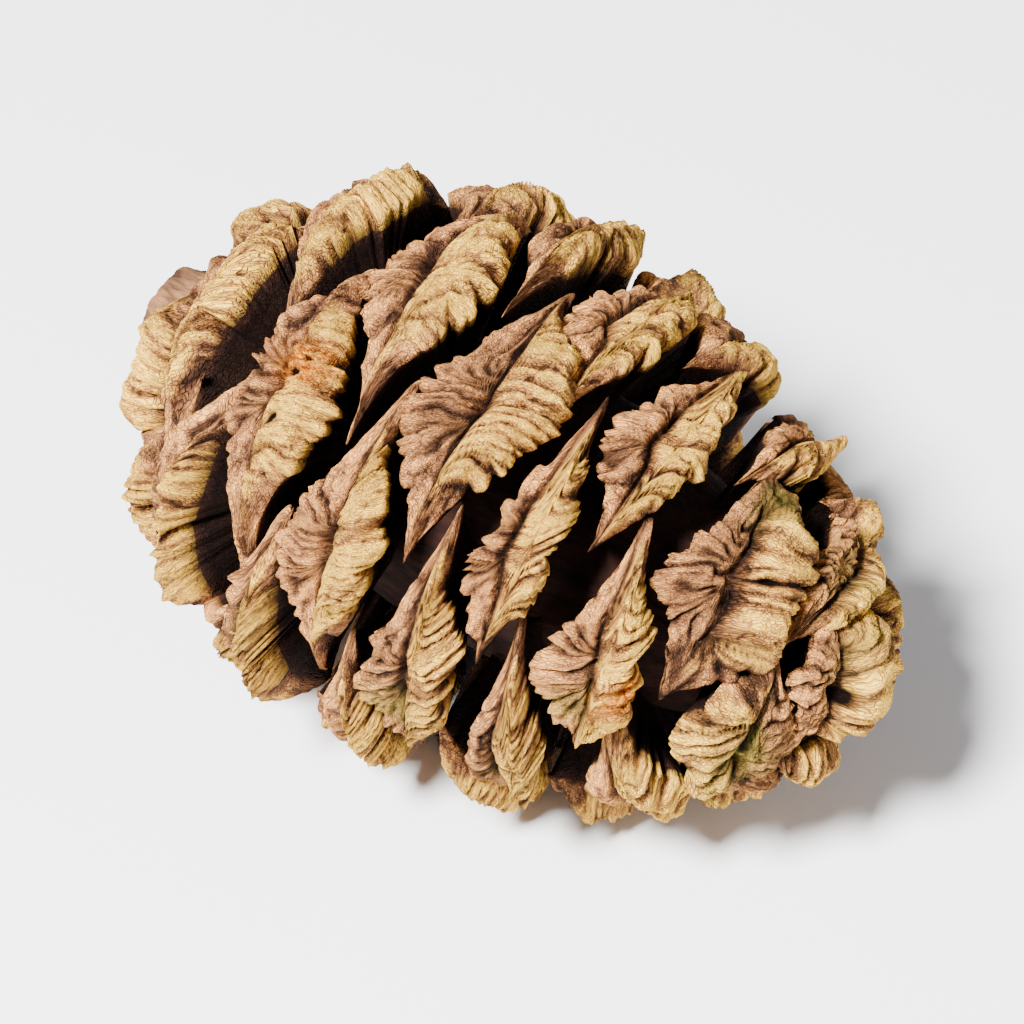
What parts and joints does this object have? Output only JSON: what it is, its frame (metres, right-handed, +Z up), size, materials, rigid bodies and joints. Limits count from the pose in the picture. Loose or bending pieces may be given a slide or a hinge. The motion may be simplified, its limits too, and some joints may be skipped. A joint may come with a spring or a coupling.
{
  "type": "sequoia cone",
  "caption": "Open, dry giant sequoia cone lying on its side: an egg-shaped body of thick, wide woody scales set in a spiral, each with a groove between two lips, and a short cut stalk.",
  "frame": {"origin": "middle of the bounding box, on the surface that the cone lies on", "axes": "+X along the cone from its stalk to its tip, +Z up"},
  "size_m": [0.0612, 0.042, 0.0406],
  "materials": {
    "dry_scales": "matt, dry, wrinkled bark-like scales"
  },
  "bodies": {
    "root": {"cone": "dry_scales"}
  },
  "joints": []
}
